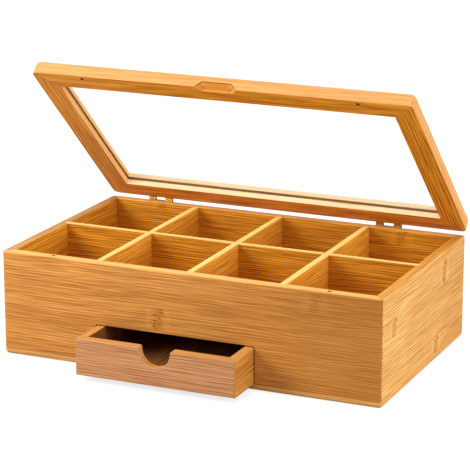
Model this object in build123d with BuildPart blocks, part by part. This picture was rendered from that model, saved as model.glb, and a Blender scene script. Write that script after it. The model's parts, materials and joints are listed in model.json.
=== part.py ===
from build123d import *

import os

# A bamboo tea bag box: eight compartments under a hinged lid with a clear window, and a drawer
# in the bay below them. Millimetres. X runs along the front from left to right, Y from front to
# back and Z up. The origin is the centre of the base board's underside. The lid stands half open
# and the drawer is part way out.

# ---------------------------------------------------------------- driving dimensions

# Body
box_width = 307.0
box_depth = 185.0
body_height = 81.5  # from the table to the rim
wall_thickness = 8.0
base_thickness = 4.5
corner_radius = 3.2  # round of the upright corners
base_edge_radius = 3.0  # round along the bottom edges, less than corner_radius
rim_edge_radius = 1.5  # round along the rim's outer edge
rim_inner_bevel = 0.5  # along the rim's inner edge
floor_thickness = 4.0  # floor of the compartments
floor_groove_depth = 3.0
panel_gap = 0.25  # room in a groove for a panel to swell

# Dividers
columns = 4
divider_thickness = 5.0
divider_bevel = 0.4  # along both top edges
housing_depth = 2.5  # how far a divider is let into a wall
joint_gap = 0.05  # on each side of a divider in its housing or halving

# Drawer
drawer_width = 128.0
drawer_height = 28.0
drawer_centre_x = -9.6  # the drawer sits left of the middle
drawer_wall = 7.0
drawer_out = 33.3  # how far the drawer is pulled out
drawer_side_gap = 0.8
drawer_top_gap = 0.8
drawer_glide_gap = 0.2  # between the drawer and the base board
drawer_stop_gap = 0.3  # between the shut drawer and the back wall
drawer_rim_bevel = 0.6  # along the rim's outer edges
drawer_bottom_thickness = 3.0
drawer_bottom_lift = 3.0  # from the sides' lower edges up to the bottom board
drawer_groove_depth = 3.0
opening_corner_radius = 1.0
guide_thickness = 6.0
notch_radius = 12.8
notch_drop = 1.6  # from the drawer's rim down to the notch's centre
notch_corner_radius = 1.5

# Lid
lid_thickness = 11.5
lid_open_angle = 43.0
lid_closing_gap = 0.15  # between the rim and the shut lid
rail_width = 17.5
lid_corner_radius = 4.5  # round of the lid's upright corners
rail_outer_radius = 4.0  # round along the top's outer edges, less than lid_corner_radius
rail_inner_radius = 3.0  # round along the window's upper edges
pane_thickness = 2.0
pane_height = 5.6  # from the lid's underside to the middle of the pane
pane_gap = 0.1  # above and below the pane in its groove
pane_groove_depth = 5.5
recess_width = 35.0  # finger recess along the underside
recess_top_width = 24.5
recess_height = 5.3
recess_depth = 5.5
recess_taper = 32.0
recess_corner_radius = 3.0

# Hinges
hinge_places = (("left", -111.0), ("right", 88.7))
hinge_width = 21.0
middle_knuckle = 8.6
knuckle_gap = 0.2
knuckle_radius = 1.75
hinge_pin_radius = 0.8
hinge_pin_gap = 0.05
hinge_pin_head_radius = 1.3
hinge_pin_head = 0.5
pin_setback = 3.3  # from the back faces to the pin's axis
pin_drop = 2.35  # from the rim down to the pin's axis
leaf_thickness = 1.0
leaf_height = 6.6
leaf_start = 3.2  # from the pin's axis to the leaf's near edge
leaf_corner_radius = 1.2
lug_height = 1.5  # height of the lug's foot on its leaf
screw_pitch = 12.0
screw_radius = 0.9
screw_head_radius = 1.9
screw_length = 6.5
screw_point = 1.2
screw_tip_radius = 0.15
screw_sides = 12
screw_gap = 0.05

# Magnets
magnet_spread = 222.4  # between the middles of the two magnets
magnet_radius = 1.5
magnet_length = 4.0
magnet_gap = 0.05
magnet_recess = 0.1

# ---------------------------------------------------------------- worked-out sizes

wall_height = body_height - base_thickness
inner_width = box_width - 2 * wall_thickness
inner_depth = box_depth - 2 * wall_thickness
compartment_width = (inner_width - (columns - 1) * divider_thickness) / columns
divider_pitch = compartment_width + divider_thickness

drawer_underside = base_thickness + drawer_glide_gap
floor_underside = drawer_underside + drawer_height + drawer_top_gap
floor_top = floor_underside + floor_thickness
opening_width = drawer_width + 2 * drawer_side_gap
opening_height = floor_underside - base_thickness
divider_height = body_height - floor_top
halving_height = divider_height / 2
halving_width = divider_thickness + 2 * joint_gap

drawer_length = box_depth - wall_thickness - drawer_stop_gap
drawer_front_y = -box_depth / 2 - drawer_out

pane_groove_height = pane_thickness + 2 * pane_gap
window_width = box_width - 2 * rail_width
window_depth = box_depth - 2 * rail_width
outer_knuckle = (hinge_width - middle_knuckle) / 2 - knuckle_gap
outer_knuckle_place = (hinge_width - outer_knuckle) / 2

# ---------------------------------------------------------------- frames and helpers

os.makedirs("parts", exist_ok=True)

BOTTOM_EDGE = (Align.CENTER, Align.MIN)

# The lid turns about hinge_line. lid_hung is the same plane carried round with the open lid.
hinge_line = Plane(origin=(0, box_depth / 2 + pin_setback, body_height - pin_drop))
lid_hung = hinge_line.rotated((-lid_open_angle, 0, 0))
lid_underside = Plane(
    lid_hung.location * Location((0, -pin_setback - box_depth / 2, pin_drop + lid_closing_gap))
)


def edge_planes(frame, width, depth):
    """Planes on the four sides of a rectangle in frame: X along the side, Y inwards, Z as in frame."""
    sides = {
        "front": Location((0, -depth / 2, 0), (0, 0, 0)),
        "right": Location((width / 2, 0, 0), (0, 0, 90)),
        "back": Location((0, depth / 2, 0), (0, 0, 180)),
        "left": Location((-width / 2, 0, 0), (0, 0, 270)),
    }
    return {side: Plane(frame.location * place) for side, place in sides.items()}


def outer_face(side_plane):
    """The upright face over a side plane: X along the side, Y up, Z outwards."""
    return Plane(side_plane.location * Location((0, 0, 0), (90, 0, 0)))


def hinge_face(frame, hinge_x):
    """The back face that a leaf is screwed to: Y up from the pin's height, Z outwards."""
    origin = frame.from_local_coords((hinge_x, -pin_setback, 0))
    return Plane(origin=origin, x_dir=-frame.x_dir, z_dir=frame.y_dir)


def hinge_section(frame, x):
    """Section across the pin: X to the back, Y up, origin on the pin's axis."""
    return Plane(origin=frame.from_local_coords((x, 0, 0)), x_dir=frame.y_dir, z_dir=frame.x_dir)


def finish(builder, name):
    """Labels a finished piece and writes it."""
    builder.part.label = name
    export_step(builder.part, f"parts/{name}.step")


wall_planes = edge_planes(Plane.XY.offset(base_thickness), box_width, box_depth)
rail_planes = edge_planes(lid_underside, box_width, box_depth)
divider_xs = [(i - columns / 2) * divider_pitch for i in range(1, columns)]
magnet_xs = [-magnet_spread / 2, magnet_spread / 2]
magnet_y = -box_depth / 2 + wall_thickness / 2

# ---------------------------------------------------------------- body: base and walls

# The body's outer form. The base and the walls are glued up square and rounded together to it.
with BuildPart() as body_outline:
    with BuildSketch():
        RectangleRounded(box_width, box_depth, corner_radius)
    extrude(amount=body_height)
    fillet(body_outline.edges().group_by(Axis.Z)[0], base_edge_radius)
    fillet(body_outline.edges().group_by(Axis.Z)[-1], rim_edge_radius)

with BuildPart() as base_board:
    with BuildSketch():
        Rectangle(box_width, box_depth)
    extrude(amount=base_thickness)
    add(body_outline.part, mode=Mode.INTERSECT)
finish(base_board, "base_board")


def mitred_wall(side, length):
    """A wall with 45 degree ends, rounded outside, with a bevelled rim and the floor's groove."""
    with BuildSketch(wall_planes[side]) as plan:
        Trapezoid(length, wall_thickness, 45, align=BOTTOM_EDGE)
    wall = extrude(plan.sketch, amount=wall_height)
    inner_rim_edge = wall.edges().group_by(Axis.Z)[-1].sort_by(SortBy.LENGTH)[-2]
    chamfer(inner_rim_edge, rim_inner_bevel)
    add(body_outline.part, mode=Mode.INTERSECT)
    with BuildSketch(Plane.XY.offset(floor_underside)) as groove:
        Rectangle(inner_width + 2 * floor_groove_depth, inner_depth + 2 * floor_groove_depth)
    extrude(groove.sketch, amount=floor_thickness, mode=Mode.SUBTRACT)


def cut_housings(places, length, width):
    """Housings that take the ends of dividers, cut from the rim down to the floor."""
    with BuildSketch(Plane.XY.offset(floor_top)) as housings:
        with Locations(*places):
            Rectangle(length, width)
    extrude(housings.sketch, amount=divider_height, mode=Mode.SUBTRACT)


short_divider_places = [(x, 0) for x in divider_xs]
short_divider_length = inner_depth + 2 * housing_depth
long_divider_length = inner_width + 2 * housing_depth

with BuildPart() as front_wall:
    mitred_wall("front", box_width)
    cut_housings(short_divider_places, halving_width, short_divider_length + 2 * joint_gap)
    with BuildSketch(outer_face(wall_planes["front"])) as opening:
        with Locations((drawer_centre_x, 0)):
            Rectangle(opening_width, opening_height, align=BOTTOM_EDGE)
        fillet(opening.vertices().group_by(Axis.Y)[-1], opening_corner_radius)
    extrude(amount=-wall_thickness, mode=Mode.SUBTRACT)
    with BuildSketch(Plane.XY.offset(body_height)):
        with Locations(*[(x, magnet_y) for x in magnet_xs]):
            Circle(magnet_radius + magnet_gap)
    extrude(amount=-magnet_length - magnet_recess, mode=Mode.SUBTRACT)
finish(front_wall, "front_wall")

with BuildPart() as back_wall:
    mitred_wall("back", box_width)
    cut_housings(short_divider_places, halving_width, short_divider_length + 2 * joint_gap)
    for _, hinge_x in hinge_places:
        with BuildSketch(hinge_face(hinge_line, hinge_x)):
            with Locations((0, -leaf_start - leaf_height / 2)):
                with GridLocations(screw_pitch, 1, 2, 1):
                    Circle(screw_radius + screw_gap)
        extrude(amount=leaf_thickness - screw_length - panel_gap, mode=Mode.SUBTRACT)
finish(back_wall, "back_wall")

for side in ("left", "right"):
    with BuildPart() as side_wall:
        mitred_wall(side, box_depth)
        cut_housings([(0, 0)], long_divider_length + 2 * joint_gap, halving_width)
    finish(side_wall, f"{side}_wall")

# ---------------------------------------------------------------- body: floor, dividers, guides

with BuildPart() as compartment_floor:
    with BuildSketch(Plane.XY.offset(floor_underside)):
        Rectangle(
            inner_width + 2 * (floor_groove_depth - panel_gap),
            inner_depth + 2 * (floor_groove_depth - panel_gap),
        )
    extrude(amount=floor_thickness)
finish(compartment_floor, "compartment_floor")

# The dividers halve into each other: the long one is open at the top, the short ones below.
with BuildPart() as long_divider:
    with BuildSketch(Plane.XY.offset(floor_top)):
        Rectangle(long_divider_length, divider_thickness)
    extrude(amount=divider_height)
    chamfer(long_divider.edges().group_by(Axis.Z)[-1].filter_by(Axis.X), divider_bevel)
    with BuildSketch(Plane.XY.offset(floor_top + halving_height)):
        with Locations(*short_divider_places):
            Rectangle(halving_width, halving_width)
    extrude(amount=halving_height, mode=Mode.SUBTRACT)
finish(long_divider, "long_divider")

for number, divider_x in enumerate(divider_xs, start=1):
    with BuildPart() as short_divider:
        with BuildSketch(Plane.XY.offset(floor_top)):
            with Locations((divider_x, 0)):
                Rectangle(divider_thickness, short_divider_length)
        extrude(amount=divider_height)
        chamfer(short_divider.edges().group_by(Axis.Z)[-1].filter_by(Axis.Y), divider_bevel)
        with BuildSketch(Plane.XY.offset(floor_top)):
            with Locations((divider_x, 0)):
                Rectangle(halving_width, halving_width)
        extrude(amount=halving_height, mode=Mode.SUBTRACT)
    finish(short_divider, f"short_divider_{number}")

# The guides stand on the base board beside the drawer and carry the floor.
for side, sign in (("left", -1), ("right", 1)):
    with BuildPart() as drawer_guide:
        with BuildSketch(Plane.XY.offset(base_thickness)):
            with Locations((drawer_centre_x + sign * (opening_width + guide_thickness) / 2, 0)):
                Rectangle(guide_thickness, inner_depth)
        extrude(amount=opening_height)
    finish(drawer_guide, f"{side}_drawer_guide")

# ---------------------------------------------------------------- drawer

drawer_plan = Plane(origin=(drawer_centre_x, drawer_front_y, drawer_underside))


def cut_drawer_groove():
    """The groove round the drawer that takes its bottom board."""
    groove_width = drawer_width - 2 * (drawer_wall - drawer_groove_depth)
    groove_length = drawer_length - 2 * (drawer_wall - drawer_groove_depth)
    with BuildSketch(drawer_plan.offset(drawer_bottom_lift)) as groove:
        with Locations((0, drawer_wall - drawer_groove_depth)):
            Rectangle(groove_width, groove_length, align=BOTTOM_EDGE)
    extrude(groove.sketch, amount=drawer_bottom_thickness, mode=Mode.SUBTRACT)


with BuildPart() as drawer_front:
    with BuildSketch(drawer_plan):
        Trapezoid(drawer_width, drawer_wall, 45, align=BOTTOM_EDGE)
    extrude(amount=drawer_height)
    front_rim_edge = drawer_front.edges().group_by(Axis.Z)[-1].sort_by(SortBy.LENGTH)[-1]
    chamfer(front_rim_edge, drawer_rim_bevel)
    cut_drawer_groove()
    # A half-round finger notch. Its profile flares out over the rim, which rounds its corners off.
    notch_face = Plane(drawer_plan.location * Location((0, 0, drawer_height), (90, 0, 0)))
    with BuildSketch(notch_face) as notch:
        with Locations((0, -notch_drop)):
            Circle(notch_radius)
            Rectangle(2 * notch_radius, notch_drop, align=BOTTOM_EDGE)
        mouth_width = 2 * (notch_radius + 2 * notch_corner_radius)
        Rectangle(mouth_width, notch_radius, align=BOTTOM_EDGE)
        notch_corners = notch.vertices().group_by(Axis.Y)[-2].sort_by(Axis.X)[1:3]
        fillet(notch_corners, notch_corner_radius)
    extrude(amount=-drawer_wall, mode=Mode.SUBTRACT)
finish(drawer_front, "drawer_front")

for side, sign in (("left", -1), ("right", 1)):
    outer_x = sign * drawer_width / 2
    inner_x = outer_x - sign * drawer_wall
    with BuildPart() as drawer_side:
        with BuildSketch(drawer_plan):
            with BuildLine():
                Polyline(
                    (outer_x, 0),
                    (outer_x, drawer_length),
                    (inner_x, drawer_length),
                    (inner_x, drawer_wall),
                    close=True,
                )
            make_face()
        extrude(amount=drawer_height)
        side_rim_edge = drawer_side.edges().group_by(Axis.Z)[-1].sort_by(SortBy.LENGTH)[-1]
        chamfer(side_rim_edge, drawer_rim_bevel)
        cut_drawer_groove()
    finish(drawer_side, f"drawer_{side}_side")

with BuildPart() as drawer_back:
    with BuildSketch(drawer_plan):
        with Locations((0, drawer_length - drawer_wall)):
            Rectangle(drawer_width - 2 * drawer_wall, drawer_wall, align=BOTTOM_EDGE)
    extrude(amount=drawer_height)
    cut_drawer_groove()
finish(drawer_back, "drawer_back")

with BuildPart() as drawer_bottom:
    edge_inset = drawer_wall - drawer_groove_depth + panel_gap
    with BuildSketch(drawer_plan.offset(drawer_bottom_lift)):
        with Locations((0, edge_inset)):
            Rectangle(
                drawer_width - 2 * edge_inset, drawer_length - 2 * edge_inset, align=BOTTOM_EDGE
            )
    extrude(amount=drawer_bottom_thickness)
finish(drawer_bottom, "drawer_bottom")

# ---------------------------------------------------------------- lid


# The lid's outer form, to which the glued rails are rounded together.
with BuildPart() as lid_outline:
    with BuildSketch(lid_underside):
        RectangleRounded(box_width, box_depth, lid_corner_radius)
    extrude(amount=lid_thickness)
    lid_upwards = Axis(lid_underside.origin, lid_underside.z_dir)
    fillet(lid_outline.edges().group_by(lid_upwards)[-1], rail_outer_radius)


def moulded_rail(side, length):
    """A lid rail: one moulded section run along its side, grooved for the pane, mitred at 45."""
    plane = rail_planes[side]
    section_plane = Plane(origin=plane.origin, x_dir=plane.y_dir, z_dir=plane.x_dir)
    with BuildSketch(section_plane) as section:
        Rectangle(rail_width, lid_thickness, align=(Align.MIN, Align.MIN))
        fillet(section.vertices().group_by(Axis.Y)[-1].sort_by(Axis.X)[-1], rail_inner_radius)
        with Locations((rail_width, pane_height)):
            Rectangle(
                pane_groove_depth,
                pane_groove_height,
                align=(Align.MAX, Align.CENTER),
                mode=Mode.SUBTRACT,
            )
    extrude(section.sketch, amount=length / 2, both=True)
    with BuildSketch(plane) as mitres:
        Trapezoid(length, rail_width, 45, align=BOTTOM_EDGE)
    extrude(mitres.sketch, amount=lid_thickness, mode=Mode.INTERSECT)
    add(lid_outline.part, mode=Mode.INTERSECT)


with BuildPart() as lid_front_rail:
    moulded_rail("front", box_width)
    # The recess is scooped into the lower front edge, wide at the underside and narrower above.
    recess_face = Plane(outer_face(rail_planes["front"]).location * Location((0, 0, 0), (0, 180, 0)))
    with BuildSketch(recess_face) as recess:
        with BuildLine():
            Polyline(
                (-recess_width / 2, 0),
                (-recess_top_width / 2, recess_height),
                (recess_top_width / 2, recess_height),
                (recess_width / 2, 0),
                (recess_top_width / 2, -recess_height),
                (-recess_top_width / 2, -recess_height),
                close=True,
            )
        make_face()
        fillet(recess.vertices().group_by(Axis.Y)[-1], recess_corner_radius)
    extrude(amount=recess_depth, taper=recess_taper, mode=Mode.SUBTRACT)
    with BuildSketch(lid_underside):
        with Locations(*[(x, magnet_y) for x in magnet_xs]):
            Circle(magnet_radius + magnet_gap)
    extrude(amount=magnet_length + magnet_recess, mode=Mode.SUBTRACT)
finish(lid_front_rail, "lid_front_rail")

with BuildPart() as lid_back_rail:
    moulded_rail("back", box_width)
    for _, hinge_x in hinge_places:
        with BuildSketch(hinge_face(lid_hung, hinge_x)):
            with Locations((0, leaf_start + leaf_height / 2)):
                with GridLocations(screw_pitch, 1, 2, 1):
                    Circle(screw_radius + screw_gap)
        extrude(amount=leaf_thickness - screw_length - panel_gap, mode=Mode.SUBTRACT)
finish(lid_back_rail, "lid_back_rail")

for side in ("left", "right"):
    with BuildPart() as lid_side_rail:
        moulded_rail(side, box_depth)
    finish(lid_side_rail, f"lid_{side}_rail")

with BuildPart() as lid_window:
    pane_margin = 2 * (pane_groove_depth - panel_gap)
    with BuildSketch(lid_underside.offset(pane_height - pane_thickness / 2)):
        Rectangle(window_width + pane_margin, window_depth + pane_margin)
    extrude(amount=pane_thickness)
finish(lid_window, "lid_window")

# ---------------------------------------------------------------- hinges


def hinge_leaf(frame, hinge_x, up, knuckles):
    """A leaf and its knuckles. up is 1 for the lid's leaf, above the pin, and -1 for the box's."""
    face = hinge_face(frame, hinge_x)
    middle = up * (leaf_start + leaf_height / 2)
    with BuildSketch(face) as plate:
        with Locations((0, middle)):
            Rectangle(hinge_width, leaf_height)
        far_corners = plate.vertices().group_by(Axis.Y)[-1 if up > 0 else 0]
        fillet(far_corners, leaf_corner_radius)
    extrude(plate.sketch, amount=leaf_thickness)
    for knuckle_x, length in knuckles:
        with BuildSketch(hinge_section(frame, hinge_x + knuckle_x)) as knuckle:
            Circle(knuckle_radius)
            with Locations((leaf_thickness / 2 - pin_setback, up * (leaf_start + lug_height / 2))):
                Rectangle(leaf_thickness, lug_height)
            make_hull()
            Circle(hinge_pin_radius + hinge_pin_gap, mode=Mode.SUBTRACT)
        extrude(knuckle.sketch, amount=length / 2, both=True)
    with Locations(face.offset(leaf_thickness)):
        with Locations((0, middle)):
            with GridLocations(screw_pitch, 1, 2, 1):
                CounterSinkHole(
                    screw_radius + screw_gap,
                    screw_head_radius + screw_gap,
                    depth=leaf_thickness,
                    counter_sink_angle=90,
                )


for side, hinge_x in hinge_places:
    with BuildPart() as box_leaf:
        hinge_leaf(hinge_line, hinge_x, -1, [(0, middle_knuckle)])
    finish(box_leaf, f"{side}_hinge_box_leaf")

    with BuildPart() as lid_leaf:
        outer_knuckles = [(-outer_knuckle_place, outer_knuckle), (outer_knuckle_place, outer_knuckle)]
        hinge_leaf(lid_hung, hinge_x, 1, outer_knuckles)
    finish(lid_leaf, f"{side}_hinge_lid_leaf")

    with BuildPart() as hinge_pin:
        with BuildSketch(hinge_section(hinge_line, hinge_x)):
            Circle(hinge_pin_radius)
        extrude(amount=hinge_width / 2 + hinge_pin_gap, both=True)
        for end in (-1, 1):
            head_x = hinge_x + end * (hinge_width / 2 + hinge_pin_gap)
            with BuildSketch(hinge_section(hinge_line, head_x)):
                Circle(hinge_pin_head_radius)
            extrude(amount=end * hinge_pin_head)
    finish(hinge_pin, f"{side}_hinge_pin")

# One countersunk screw, head up along Z, that both groups of screws repeat. It is faceted, because
# it is small and there are eight.
screw_profile = (
    (0, screw_head_radius),
    (screw_radius - screw_head_radius, screw_radius),
    (screw_point - screw_length, screw_radius),
    (-screw_length, screw_tip_radius),
)
with BuildPart() as screw:
    for height, radius in screw_profile:
        with BuildSketch(Plane.XY.offset(height)):
            RegularPolygon(radius, screw_sides)
    loft(ruled=True)

for name, frame, up in (("box_leaf_screws", hinge_line, -1), ("lid_leaf_screws", lid_hung, 1)):
    with BuildPart() as screws:
        for _, hinge_x in hinge_places:
            with Locations(hinge_face(frame, hinge_x).offset(leaf_thickness)):
                with Locations((0, up * (leaf_start + leaf_height / 2))):
                    with GridLocations(screw_pitch, 1, 2, 1):
                        add(screw.part)
    finish(screws, name)

# ---------------------------------------------------------------- magnets

with BuildPart() as rim_magnets:
    with BuildSketch(Plane.XY.offset(body_height - magnet_recess)):
        with Locations(*[(x, magnet_y) for x in magnet_xs]):
            Circle(magnet_radius)
    extrude(amount=-magnet_length)
finish(rim_magnets, "rim_magnets")

with BuildPart() as lid_magnets:
    with BuildSketch(lid_underside.offset(magnet_recess)):
        with Locations(*[(x, magnet_y) for x in magnet_xs]):
            Circle(magnet_radius)
    extrude(amount=magnet_length)
finish(lid_magnets, "lid_magnets")
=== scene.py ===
# %% [markdown]
# # A bamboo tea box with a drawer
#
# This lesson dresses a finished model. The boards, hinges and magnets come from the frame at their
# real size, and each cell gives one of them its surface: bamboo with its fibres and knots, aged
# brass, clear acrylic. The unit is the metre, X runs along the box's front, Y to the back, Z up.

import json
import math

import bpy
from mathutils import Euler, Matrix, Vector


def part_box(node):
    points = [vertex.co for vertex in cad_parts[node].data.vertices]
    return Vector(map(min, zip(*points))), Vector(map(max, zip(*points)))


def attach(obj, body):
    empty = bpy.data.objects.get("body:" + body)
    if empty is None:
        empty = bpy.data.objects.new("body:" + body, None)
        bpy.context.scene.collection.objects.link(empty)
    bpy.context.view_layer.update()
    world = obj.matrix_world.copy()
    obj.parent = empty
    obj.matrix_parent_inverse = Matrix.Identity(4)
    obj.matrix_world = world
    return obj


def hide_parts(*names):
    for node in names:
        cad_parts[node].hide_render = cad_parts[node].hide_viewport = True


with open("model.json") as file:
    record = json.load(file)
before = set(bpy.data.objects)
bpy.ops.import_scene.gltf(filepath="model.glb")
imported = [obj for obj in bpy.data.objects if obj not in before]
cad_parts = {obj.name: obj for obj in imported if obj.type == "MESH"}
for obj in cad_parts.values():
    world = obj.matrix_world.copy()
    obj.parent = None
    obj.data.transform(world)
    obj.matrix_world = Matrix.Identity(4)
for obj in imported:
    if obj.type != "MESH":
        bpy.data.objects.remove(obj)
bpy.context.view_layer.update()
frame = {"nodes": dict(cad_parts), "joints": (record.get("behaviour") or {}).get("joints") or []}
nodes = frame["nodes"]

# %% [markdown]
# ## The camera
#
# The view is a long lens from the right, a little above the box. A long lens keeps the box's
# edges nearly parallel, as product photographs do. The place and the angles below were found by
# lining up the corners of the box, the lid and the drawer.

# %% Camera
CAMERA_PLACE = (0.6350, -1.4295, 0.5241)
CAMERA_YAW = 24.0
CAMERA_PITCH = 15.59
FOCAL_PIXELS = 2121.8
PICTURE_PIXELS = 470
SENSOR_MM = 36.0

camera_data = bpy.data.cameras.new("camera")
camera_data.sensor_width = SENSOR_MM
camera_data.lens = FOCAL_PIXELS / PICTURE_PIXELS * SENSOR_MM
camera_data.clip_start = 0.05
camera_data.clip_end = 50.0
camera = bpy.data.objects.new("camera", camera_data)
camera.location = CAMERA_PLACE
camera.rotation_euler = Euler((math.radians(90 - CAMERA_PITCH), 0, math.radians(CAMERA_YAW)))
bpy.context.scene.collection.objects.link(camera)
bpy.context.scene.camera = camera
bpy.context.scene.view_settings.view_transform = "Standard"

print("lens: %.1f mm" % camera_data.lens)

# %% [markdown]
# ## Small helpers for node trees
#
# Every finish here is a tree of nodes. Written out in full, a tree takes four lines for each node:
# add it, set it, link it in, link it out. These helpers keep the trees short to read. Most of them
# add one node, fill its inputs and return the output that the next node needs.


# %% Add a node
def add_node(tree, kind, inputs=None, **settings):
    """Adds a node. A value in inputs is either an output socket to link or a plain value."""
    node = tree.nodes.new(kind)
    for key, value in settings.items():
        setattr(node, key, value)
    for key, value in (inputs or {}).items():
        if isinstance(value, bpy.types.NodeSocket):
            tree.links.new(value, node.inputs[key])
        else:
            node.inputs[key].default_value = value
    return node


print("helper:", add_node.__name__)


# %% Arithmetic
def calculate(tree, operation, first, second=0.0, clamp=False):
    node = add_node(tree, "ShaderNodeMath", {0: first, 1: second}, operation=operation)
    node.use_clamp = clamp
    return node.outputs[0]


def product(tree, *factors):
    result = factors[0]
    for factor in factors[1:]:
        result = calculate(tree, "MULTIPLY", result, factor)
    return result


def ramp(tree, value, low, high, to_low=0.0, to_high=1.0):
    """Turns low..high smoothly into to_low..to_high. Low may be the larger one."""
    inputs = {"Value": value, "From Min": low, "From Max": high, "To Min": to_low, "To Max": to_high}
    node = add_node(tree, "ShaderNodeMapRange", inputs, interpolation_type="SMOOTHSTEP")
    return node.outputs["Result"]


print("helpers:", calculate.__name__, product.__name__, ramp.__name__)


# %% Vectors
def vector_math(tree, operation, first, second=(0, 0, 0)):
    node = add_node(tree, "ShaderNodeVectorMath", {0: first, 1: second}, operation=operation)
    return node.outputs["Value" if operation in ("LENGTH", "DOT_PRODUCT") else "Vector"]


def in_millimetres(tree, vector):
    node = add_node(tree, "ShaderNodeVectorMath", {0: vector, "Scale": 1000.0}, operation="SCALE")
    return node.outputs["Vector"]


def split(tree, vector):
    return add_node(tree, "ShaderNodeSeparateXYZ", {0: vector}).outputs


def join(tree, x=0.0, y=0.0, z=0.0):
    return add_node(tree, "ShaderNodeCombineXYZ", {"X": x, "Y": y, "Z": z}).outputs["Vector"]


def texture_place(tree):
    """Where the shaded point lies, in the object's own coordinates."""
    return add_node(tree, "ShaderNodeTexCoord").outputs["Object"]


print("helpers:", vector_math.__name__, split.__name__, join.__name__, texture_place.__name__)


# %% Patterns and colours
def noise(tree, vector, detail=2.0, roughness=0.5):
    inputs = {"Vector": vector, "Scale": 1.0, "Detail": detail, "Roughness": roughness}
    return add_node(tree, "ShaderNodeTexNoise", inputs).outputs["Fac"]


def mix_colour(tree, factor, first, second, blend="MIX"):
    node = add_node(tree, "ShaderNodeMix", {0: factor, 6: first, 7: second}, data_type="RGBA")
    node.blend_type = blend
    return node.outputs[2]


def srgb(code):
    """A colour written as #RRGGBB, turned into the linear values that shaders use."""
    values = [int(code[i : i + 2], 16) / 255 for i in (1, 3, 5)]
    linear = [v / 12.92 if v <= 0.04045 else ((v + 0.055) / 1.055) ** 2.4 for v in values]
    return (*linear, 1.0)


print("mid grey #808080 is %.3f to a shader" % srgb("#808080")[0])

# %% [markdown]
# An effect that several materials share goes into a group, with a name on each of its inputs and
# outputs, as a machine has labels on its knobs. The shader itself stays in the material.

# %% Groups
SOCKETS = {"vector": "NodeSocketVector", "value": "NodeSocketFloat", "colour": "NodeSocketColor"}


def shader_group(name, inputs, outputs):
    """A group with named sockets. Returns the tree, its input node and its output node."""
    tree = bpy.data.node_groups.new(name, "ShaderNodeTree")
    for label, (kind, value) in inputs.items():
        socket = tree.interface.new_socket(label, in_out="INPUT", socket_type=SOCKETS[kind])
        if value is not None:
            socket.default_value = value
    for label, kind in outputs.items():
        tree.interface.new_socket(label, in_out="OUTPUT", socket_type=SOCKETS[kind])
    return tree, tree.nodes.new("NodeGroupInput").outputs, tree.nodes.new("NodeGroupOutput").inputs


def use_group(tree, group, inputs):
    """Places a group in a material, fills its inputs and returns its outputs."""
    return add_node(tree, "ShaderNodeGroup", inputs, node_tree=group).outputs


print("kinds of sockets:", ", ".join(SOCKETS))


# %% Materials
def new_material(name, **settings):
    """A material with one Principled BSDF. Returns the material, its tree and the BSDF."""
    material = bpy.data.materials.new(name)
    material.use_nodes = True
    tree = material.node_tree
    tree.nodes.clear()
    bsdf = tree.nodes.new("ShaderNodeBsdfPrincipled")
    output = tree.nodes.new("ShaderNodeOutputMaterial")
    tree.links.new(bsdf.outputs["BSDF"], output.inputs["Surface"])
    for key, value in settings.items():
        bsdf.inputs[key].default_value = value
    return material, tree, bsdf


def paint_over(material, mask, colour):
    """Lays a colour over what a finished material shows, as far as the mask says."""
    tree = material.node_tree
    bsdf = next(node for node in tree.nodes if node.type == "BSDF_PRINCIPLED")
    bare = bsdf.inputs["Base Color"].links[0].from_socket
    tree.links.new(mix_colour(tree, mask, bare, colour), bsdf.inputs["Base Color"])


def dress(node_name, material):
    """Gives a node of the frame its material."""
    piece = nodes[node_name]
    if not piece.material_slots:
        piece.data.materials.append(material)
    for slot in piece.material_slots:
        slot.material = material


print("pieces to dress:", len(nodes))

# %% [markdown]
# ## Bamboo
#
# Bamboo board is split cane glued side by side, so its surface is all straight fibres along the
# board. Seen close they are fine lines, one or two millimetres apart, that start and stop. Under
# them lie broader streaks and slow changes of tone from strip to strip, and here and there one
# long dark fibre. The fine lines are a sine wave, and the rest are noise patterns stretched along
# the grain. Solid patterns, rather than a flat image, let a fibre on the face carry on over the
# edge, as it does in real board.


# %% The fibres of bamboo
LINE_PITCH = 1.9
LINE_PUSH = 14.0
FIBRE_WANDER = 0.5
DARK_FIBRE = 0.34
DARK_FIBRE_TINT = (0.62, 0.47, 0.36, 1)


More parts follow.
